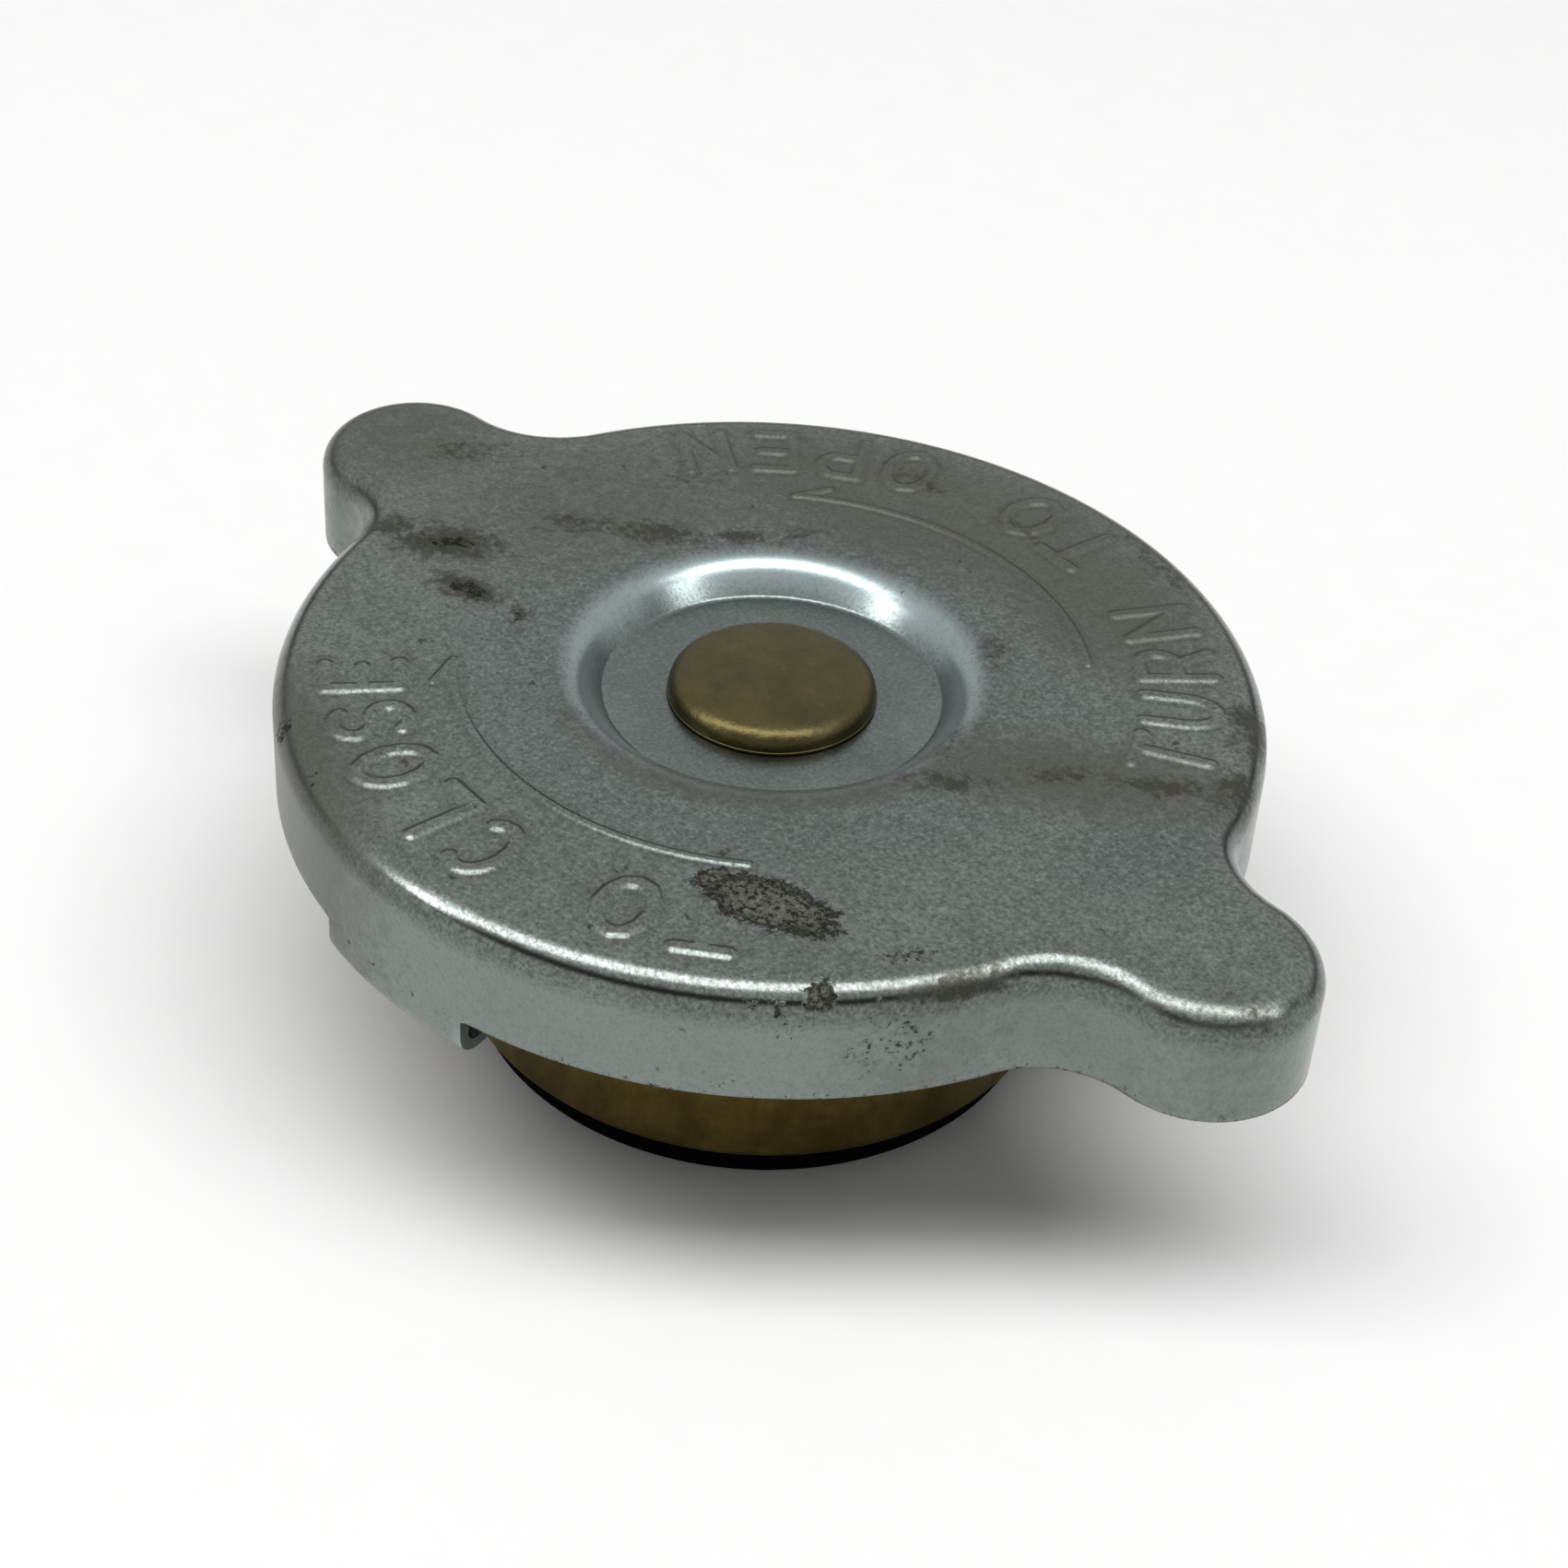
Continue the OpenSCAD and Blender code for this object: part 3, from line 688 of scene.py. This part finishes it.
def turned(name, corners, finish, columns=160):
    """A piece turned about the cap's axis. A section that starts and ends on the axis is closed there."""
    section = rounded_section(corners)
    turn = np.radians(np.arange(columns) * 360 / columns)
    points, faces, rings = [], [], []
    for r, z in section:
        start = len(points)
        if r == 0:
            points.append((0, 0, z))
        else:
            points += [(r * math.cos(a), r * math.sin(a), z) for a in turn]
        rings.append(range(start, len(points)))
    if section[0][0] > 0:
        rings.append(rings[0])
    for low, high in zip(rings, rings[1:]):
        for k in range(columns):
            n = (k + 1) % columns
            corner = (low[k % len(low)], low[n % len(low)], high[n % len(high)], high[k % len(high)])
            faces.append(tuple(dict.fromkeys(corner)))
    return solid(name, points, faces, finish, turned_crease)


brass, at = new_finish("rivet_brass")
grain = speckle(at, 0.3, 3)
cloud = speckle(at, 3.2, 4)
smudge = between(speckle(at, 4.2, 4), 0.55, 0.7)
olive = blend(between(cloud, 0.3, 0.7), (0.060, 0.051, 0.021, 1), (0.085, 0.071, 0.029, 1))
olive = blend(between(grain, 0.5, 0.75) * 0.4, olive, (0.042, 0.036, 0.016, 1))
olive = blend(smudge * 0.6, olive, (0.034, 0.030, 0.017, 1))
mottle = speckle(at, 1.3, 5, 0.7)
olive = blend(between(mottle, 0.56, 0.72) * 0.6, olive, (0.040, 0.035, 0.018, 1))
olive = blend(between(1 - mottle, 0.54, 0.72) * 0.35, olive, (0.120, 0.100, 0.044, 1))
dress(
    brass,
    at,
    {
        "Base Color": olive,
        "Metallic": 1 - 0.1 * smudge,
        "Roughness": 0.30 + 0.1 * grain + 0.14 * smudge,
        "Normal": bump(0.2 * grain + mottle, 0.15, 0.5),
    },
)
rivet = turned(
    "rivet_pin",
    [
        (0, head_top_z, 0),
        (0.25 * head_r, head_top_z - 0.08 * head_crown, 0),
        (0.5 * head_r, head_top_z - 0.38 * head_crown, 0),
        (0.7 * head_r, head_top_z - 0.8 * head_crown, 0),
        (head_r - head_lip_w, head_top_z - head_fall * head_crown, head_edge_r),
        (head_r - head_lip_w, head_z + head_lip_h, 0),
        (head_r, head_z + head_lip_h, lip_edge_r),
        (head_r, head_z, lip_edge_r),
        (shank_r, head_z, 0),
        (shank_r, clench_z + clench_h, 0),
        (clench_r, clench_z + clench_h, 0.2),
        (clench_r, clench_z, 0.3),
        (0, clench_z, 0),
    ],
    brass,
)
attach(rivet, "spring_housing")
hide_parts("rivet")

# The washer: a flat ring stamped from plain steel, with its edges rounded by the punch.
# It lies inside the bell and spreads the load of the rivet's clenched end over the bell's top.
washer_steel, at = new_finish("washer_steel")
grain = speckle(at, 0.25, 3)
cloud = speckle(at, 3, 3)
dress(
    washer_steel,
    at,
    {
        "Base Color": blend(between(cloud, 0.35, 0.65), (0.26, 0.26, 0.25, 1), (0.36, 0.36, 0.345, 1)),
        "Metallic": 0.95,
        "Roughness": 0.32 + 0.16 * grain,
        "Normal": bump(grain, 0.02, 0.2),
    },
)
washer_low, washer_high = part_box("rivet_washer")
washer_r = washer_high.x / MM
washer_bore_edge_r = 0.1
washer_edge_r = 0.15
washer = turned(
    "clench_washer",
    [
        (shank_r, washer_low.z / MM, washer_bore_edge_r),
        (washer_r, washer_low.z / MM, washer_edge_r),
        (washer_r, washer_high.z / MM, washer_edge_r),
        (shank_r, washer_high.z / MM, washer_bore_edge_r),
    ],
    washer_steel,
)
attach(washer, "spring_housing")
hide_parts("rivet_washer")

# The sealing disc: a thin disc of spring steel, pressed to a shallow dish with a flat rim.
# It is clamped between the shell and the bell, and closes the filler neck's upper rim.
disc_low, disc_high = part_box("sealing_disc")
disc_r = disc_high.x / MM
disc_top_z = disc_high.z / MM
disc_rim_z = disc_low.z / MM
disc_t = 0.4
disc_rim_w = 3.5
disc_flat_r = 15.4
disc_bend_r = 1.2
disc_edge_r = 0.1
spring_steel, at = new_finish("spring_steel")
brushed = speckle(stretch(at, 1, 1, 0.2), 0.3, 4)
cloud = speckle(at, 4, 3)
dress(
    spring_steel,
    at,
    {
        "Base Color": blend(between(cloud, 0.3, 0.7), (0.25, 0.25, 0.24, 1), (0.37, 0.365, 0.35, 1)),
        "Metallic": 0.96,
        "Roughness": 0.28 + 0.18 * brushed,
        "Normal": bump(brushed, 0.02, 0.2),
    },
)
disc = turned(
    "spring_sealing_disc",
    [
        (shank_r, disc_top_z - disc_t, 0),
        (disc_flat_r, disc_top_z - disc_t, disc_bend_r),
        (disc_r - disc_rim_w, disc_rim_z, disc_bend_r),
        (disc_r, disc_rim_z, disc_edge_r),
        (disc_r, disc_rim_z + disc_t, disc_edge_r),
        (disc_r - disc_rim_w, disc_rim_z + disc_t, disc_bend_r),
        (disc_flat_r, disc_top_z, disc_bend_r),
        (shank_r, disc_top_z, 0),
    ],
    spring_steel,
)
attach(disc, "spring_housing")
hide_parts("sealing_disc")

# The bell: a drawn brass cup that houses the springs, gone dark olive brown with streaks down its wall.
# It has three vent holes, and its lower edge is turned in to keep the valve plate. That edge is drawn
# a little lower than the solid's, where the photograph has it.
bell_low, bell_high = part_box("bell")
bell_r = bell_high.x / MM
bell_z = bell_low.z / MM
bell_top_z = bell_high.z / MM
bell_t = 0.5
bell_lip_w = 0.5
bell_lip_r = bell_r - bell_t - bell_lip_w
bell_lip_edge_r = 0.12
lip_drop = 0.5
lip_z = bell_z - lip_drop
shoulder_r = 4.0
vent_r = 1.5
vent_h = 11.4
vent_z = bell_z + vent_h
vent_turns = (90, 210, 330)
vent_sides = 40
vent_punch_l = 6 * bell_t
dark_brass, at = new_finish("dark_brass")
streak = speckle(stretch(at, 1, 1, 0.12), 1.1, 5, 0.65)
mottle = speckle(at, 2.2, 5, 0.65)
grain = speckle(at, 0.25, 3)
bronze = blend(between(mottle, 0.3, 0.72), (0.066, 0.047, 0.011, 1), (0.112, 0.082, 0.022, 1))
bronze = blend(between(streak, 0.52, 0.7) * 0.25, bronze, (0.160, 0.120, 0.036, 1))
bronze = blend(between(1 - streak, 0.52, 0.68) * 0.25, bronze, (0.036, 0.026, 0.008, 1))
dress(
    dark_brass,
    at,
    {
        "Base Color": bronze,
        "Metallic": 1 - 0.06 * between(mottle, 0.5, 0.7),
        "Roughness": 0.36 + 0.16 * grain + 0.12 * mottle,
        "Normal": bump(grain + mottle, 0.04, 0.2),
    },
)
bell = turned(
    "vented_bell",
    [
        (bell_lip_r, lip_z, bell_lip_edge_r),
        (bell_r, lip_z, bell_t),
        (bell_r, bell_top_z, shoulder_r),
        (shank_r, bell_top_z, 0),
        (shank_r, bell_top_z - bell_t, 0),
        (bell_r - bell_t, bell_top_z - bell_t, shoulder_r - bell_t),
        (bell_r - bell_t, bell_z + bell_t, 0),
        (bell_lip_r, bell_z + bell_t, bell_lip_edge_r),
    ],
    dark_brass,
)
cutter_mesh = bmesh.new()
for turn in np.radians(vent_turns):
    outwards = Vector((math.cos(turn), math.sin(turn), 0))
    place = Matrix.Translation((outwards * bell_r + Vector((0, 0, vent_z))) * MM)
    place = place @ outwards.to_track_quat("Z", "Y").to_matrix().to_4x4()
    bmesh.ops.create_cone(
        cutter_mesh,
        cap_ends=True,
        segments=vent_sides,
        radius1=vent_r * MM,
        radius2=vent_r * MM,
        depth=vent_punch_l * MM,
        matrix=place,
    )
cutter = bpy.data.objects.new("vent_cutter", bpy.data.meshes.new("vent_cutter"))
cutter_mesh.to_mesh(cutter.data)
cutter_mesh.free()
bpy.context.collection.objects.link(cutter)
punch = bell.modifiers.new("vents", "BOOLEAN")
punch.object = cutter
bpy.context.view_layer.update()
vented = bpy.data.meshes.new_from_object(bell.evaluated_get(bpy.context.evaluated_depsgraph_get()))
bell.modifiers.remove(punch)
bell.data = vented
bpy.data.objects.remove(cutter)
bell.data.set_sharp_from_angle(angle=math.radians(turned_crease))
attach(bell, "spring_housing")
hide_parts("bell")

# The springs: wound steel wire with closed end turns. The larger presses the valve plate down on the neck;
# the smaller, round the stem, pulls the vacuum valve up.
WIRE_SIZES = ("Mean Radius", "Wire Radius", "Low", "High", "Turns")
coil_tree = bpy.data.node_groups.new("wound_spring", "GeometryNodeTree")
coil_tree.interface.new_socket("Geometry", in_out="OUTPUT", socket_type="NodeSocketGeometry")
coil_inputs = {
    name: coil_tree.interface.new_socket(name, in_out="INPUT", socket_type="NodeSocketFloat").identifier
    for name in WIRE_SIZES
}
finish_socket = coil_tree.interface.new_socket("Finish", in_out="INPUT", socket_type="NodeSocketMaterial")
coil_in = coil_tree.nodes.new("NodeGroupInput")
coil_out = coil_tree.nodes.new("NodeGroupOutput")
size = {name: Paint(coil_tree, coil_in.outputs[name]) for name in (*WIRE_SIZES, "Finish")}
start = size["Turns"]
dead_turns = 0.85
dead_pitch = 2.16
wire_points = 240
wire_sides = 14
wire_crease = 50
along = start.node("GeometryNodeSplineParameter", "Factor", {}, {})
turn = along * size["Turns"]
lift = dead_turns * dead_pitch * size["Wire Radius"]
rise = size["High"] - size["Low"] - 2 * size["Wire Radius"]


def climb(from_turn, to_turn, height):
    """Height gained by the wire between two of its turns."""
    sockets = {"Value": turn, "From Min": from_turn, "From Max": to_turn, "To Max": height}
    return start.node("ShaderNodeMapRange", 0, {}, sockets)


height = climb(0, dead_turns, lift)
height = height + climb(dead_turns, size["Turns"] - dead_turns, rise - 2 * lift)
height = height + climb(size["Turns"] - dead_turns, size["Turns"], lift)
height = height + size["Low"] + size["Wire Radius"]
angle = turn * math.tau
place = start.node(
    "ShaderNodeCombineXYZ",
    0,
    {},
    {
        "X": size["Mean Radius"] * start.math("COSINE", angle, 0),
        "Y": size["Mean Radius"] * start.math("SINE", angle, 0),
        "Z": height,
    },
)
line = start.node("GeometryNodeCurvePrimitiveLine", 0, {}, {"End": (0, 0, 1)})
line = start.node("GeometryNodeResampleCurve", 0, {}, {"Curve": line, "Count": wire_points})
line = start.node("GeometryNodeSetPosition", 0, {}, {"Geometry": line, "Position": place})
round_wire = start.node(
    "GeometryNodeCurvePrimitiveCircle", 0, {}, {"Resolution": wire_sides, "Radius": size["Wire Radius"]}
)
wire = start.node(
    "GeometryNodeCurveToMesh", 0, {}, {"Curve": line, "Profile Curve": round_wire, "Fill Caps": True}
)
wire = start.node("GeometryNodeRealizeInstances", 0, {}, {"Geometry": wire})
wire = start.node("GeometryNodeSetMaterial", 0, {}, {"Geometry": wire, "Material": size["Finish"]})
start.feed(coil_out, {"Geometry": wire})


def wound_spring(name, node, body, mean_r, wire_r, turns):
    """A coil that fills the height of its CAD node."""
    low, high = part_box(node)
    spring = bpy.data.objects.new(name, bpy.data.meshes.new(name))
    bpy.context.collection.objects.link(spring)
    coil = spring.modifiers.new("coil", "NODES")
    coil.node_group = coil_tree
    for size_name, value in zip(WIRE_SIZES, (mean_r * MM, wire_r * MM, low.z, high.z, turns)):
        coil[coil_inputs[size_name]] = value
    coil[finish_socket.identifier] = spring_steel
    bpy.context.view_layer.update()
    wound = bpy.data.meshes.new_from_object(spring.evaluated_get(bpy.context.evaluated_depsgraph_get()))
    spring.modifiers.remove(coil)
    spring.data = wound
    wound.shade_smooth()
    wound.set_sharp_from_angle(angle=math.radians(wire_crease))
    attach(spring, body)
    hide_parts(node)
    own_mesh(spring)


wound_spring(
    "pressure_coil",
    "pressure_spring",
    "spring_housing",
    mean_r=10.3,
    wire_r=0.75,
    turns=4.8,
)
wound_spring(
    "vacuum_coil",
    "vacuum_spring",
    "pressure_valve",
    mean_r=3.0,
    wire_r=0.3,
    turns=5.5,
)

# The seal: a thick moulded ring of black rubber that closes the filler neck's lower seat.
# It is held under the valve plate, and its thin inner lip seats the vacuum valve's disc.
seal_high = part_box("pressure_seal")[1]
seal_r = seal_high.x / MM
seal_top_z = seal_high.z / MM
seal_hollow_r = 11.0
seal_port_r = 7.6
seal_lip_t = 1.0
seal_lip_z = seal_top_z - seal_lip_t
seal_chamfer = 0.6
seal_lip_edge_r = 0.15
rubber, at = new_finish("black_rubber")
pore = speckle(at, 0.35, 4)
dust = between(speckle(at, 1.8, 5, 0.7), 0.56, 0.72)
dress(
    rubber,
    at,
    {
        "Base Color": blend(dust * 0.5, (0.001, 0.001, 0.001, 1), (0.005, 0.0045, 0.004, 1)),
        "Roughness": 0.65 + 0.25 * pore,
        "Specular IOR Level": 0.03,
        "Normal": bump(pore, 0.05, 0.3),
    },
)
seal = turned(
    "rubber_seal",
    [
        (seal_hollow_r + seal_chamfer, 0, 0.25),
        (seal_r, 0, 0.35),
        (seal_r, seal_top_z, 0.1),
        (seal_port_r, seal_top_z, 0),
        (seal_port_r, seal_lip_z, seal_lip_edge_r),
        (seal_hollow_r, seal_lip_z, seal_lip_edge_r),
    ],
    rubber,
)
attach(seal, "pressure_valve")
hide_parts("pressure_seal")

# The valve's brass pieces: the plate behind the seal, and the vacuum valve's disc, stem and keeper washer.
# They are turned or stamped from bright brass that has dulled a little in the coolant.
valve_brass, at = new_finish("valve_brass")
grain = speckle(at, 0.25, 3)
cloud = speckle(at, 2.6, 4)
bright = blend(between(cloud, 0.3, 0.7), (0.33, 0.24, 0.085, 1), (0.50, 0.38, 0.155, 1))
dress(
    valve_brass,
    at,
    {
        "Base Color": blend(between(grain, 0.55, 0.75) * 0.4, bright, (0.20, 0.145, 0.055, 1)),
        "Metallic": 0.96,
        "Roughness": 0.3 + 0.16 * grain,
        "Normal": bump(grain, 0.02, 0.2),
    },
)
for name in ("valve_plate", "vacuum_disc", "vacuum_stem", "spring_keeper"):
    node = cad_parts[name]
    node.data.materials.clear()
    node.data.materials.append(valve_brass)

# The studio: a pale floor, white surroundings and a wide soft lamp high above the cap's near side.
# Only the metal's reflections show the rest: two small lamps beside the camera, which brighten the ends
# of the arc on the dish's wall, and two dark cards, a high one in front and a low one behind.
scene = bpy.context.scene
scene.view_settings.view_transform = "Standard"
floor_r = 0.4
floor_paint, at = new_finish("pale_floor")
paper = speckle(at, 4, 3)
dress(
    floor_paint,
    at,
    {
        "Base Color": blend(paper, (0.93, 0.93, 0.925, 1), (0.96, 0.96, 0.955, 1)),
        "Roughness": 0.9,
        "Specular IOR Level": 0.1,
    },
)
floor_mesh = bmesh.new()
bmesh.ops.create_circle(floor_mesh, cap_ends=True, segments=96, radius=floor_r)
floor = bpy.data.objects.new("floor", bpy.data.meshes.new("floor"))
floor_mesh.to_mesh(floor.data)
floor_mesh.free()
floor.data.materials.append(floor_paint)
bpy.context.collection.objects.link(floor)

photo_px = 1701
camera_turn = math.radians(43.225)
camera_rise = math.radians(35.557)
camera_roll = math.radians(3.758)
camera_distance = 0.171475
camera_focal_px = 3228.145
camera_centre_px = (838.272, 737.585)
aim_above_skirt = 6
look_at = Vector((0, 0, (skirt_z + aim_above_skirt) * MM))
back = Vector(
    (
        math.sin(camera_turn) * math.cos(camera_rise),
        -math.cos(camera_turn) * math.cos(camera_rise),
        math.sin(camera_rise),
    )
)
level = Vector((math.cos(camera_turn), math.sin(camera_turn), 0))
right = math.cos(camera_roll) * level + math.sin(camera_roll) * back.cross(level)
up = back.cross(right)
lens = bpy.data.cameras.new("photo_camera")
lens.sensor_width = 36
lens.lens = camera_focal_px / photo_px * lens.sensor_width
lens.shift_x = 0.5 - camera_centre_px[0] / photo_px
lens.shift_y = camera_centre_px[1] / photo_px - 0.5
lens.clip_start = 0.01
camera = bpy.data.objects.new("photo_camera", lens)
camera_axes = Matrix((right, up, back)).transposed().to_4x4()
camera.matrix_world = Matrix.Translation(look_at + back * camera_distance) @ camera_axes
bpy.context.collection.objects.link(camera)
scene.camera = camera


def direction(turn, rise):
    """The way from the cap to a place in the studio, by its turn and rise in degrees."""
    turn, rise = math.radians(turn), math.radians(rise)
    return Vector((math.cos(turn) * math.cos(rise), math.sin(turn) * math.cos(rise), math.sin(rise)))


def add_lamp(name, way, distance, width, depth, power, along):
    """A rectangular lamp that faces the cap, with its width along a level direction."""
    light = bpy.data.lights.new(name, "AREA")
    light.shape = "RECTANGLE"
    light.size = width
    light.size_y = depth
    light.energy = power
    lamp = bpy.data.objects.new(name, light)
    lamp.visible_camera = False
    across = (along - along.dot(way) * way).normalized()
    lamp_axes = Matrix((across, way.cross(across), way)).transposed().to_4x4()
    lamp.matrix_world = Matrix.Translation(look_at + way * distance) @ lamp_axes
    bpy.context.collection.objects.link(lamp)
    return lamp


add_lamp("soft_lamp", direction(-56, 78), distance=1.2, width=2.0, depth=0.5, power=17.5, along=level)
for name, turn, rise, power in (("left_lamp", -122, 34, 0.16), ("right_lamp", 19, 37, 0.10)):
    way, along = direction(turn, rise), direction(turn + 90, 0)
    lamp = add_lamp(name, way, distance=0.28, width=0.05, depth=0.09, power=power, along=along)
    lamp.visible_diffuse = False

# The cards as (name, turns they span, rises they span), in degrees round the cap
CARDS = [("near_card", (-125, 45), (21, 38)), ("far_card", (50, 217), (1, 12))]
card_r = 0.3
card_columns = 35
card_paint, at = new_finish("dark_card")
dress(card_paint, at, {"Base Color": (0.03, 0.03, 0.03, 1), "Roughness": 0.9, "Specular IOR Level": 0.0})
for name, card_turns, card_rises in CARDS:
    turns = np.radians(np.linspace(*card_turns, card_columns))
    heights = [look_at.z + card_r * math.tan(math.radians(rise)) for rise in card_rises]
    card_points = [(card_r * math.cos(a), card_r * math.sin(a), z) for z in heights for a in turns]
    card_faces = [(k, k + 1, card_columns + k + 1, card_columns + k) for k in range(card_columns - 1)]
    card = bpy.data.objects.new(name, bpy.data.meshes.new(name))
    card.data.from_pydata(card_points, [], card_faces)
    card.data.materials.append(card_paint)
    card.visible_camera = False
    card.visible_diffuse = False
    card.visible_shadow = False
    bpy.context.collection.objects.link(card)

room_light = 0.24
world = bpy.data.worlds.new("white_studio")
world.use_nodes = True
scene.world = world
tree = world.node_tree
ray = Paint(tree, tree.nodes.new("ShaderNodeLightPath").outputs["Is Camera Ray"])
paths = ray.socket.node.outputs
seen = ray.math("MAXIMUM", ray, Paint(tree, paths["Is Glossy Ray"]))
seen = ray.math("MAXIMUM", seen, Paint(tree, paths["Is Transmission Ray"]))
strength = room_light + (1 - room_light) * seen
ray.feed(tree.nodes["Background"], {"Color": (1, 1, 1, 1), "Strength": strength})
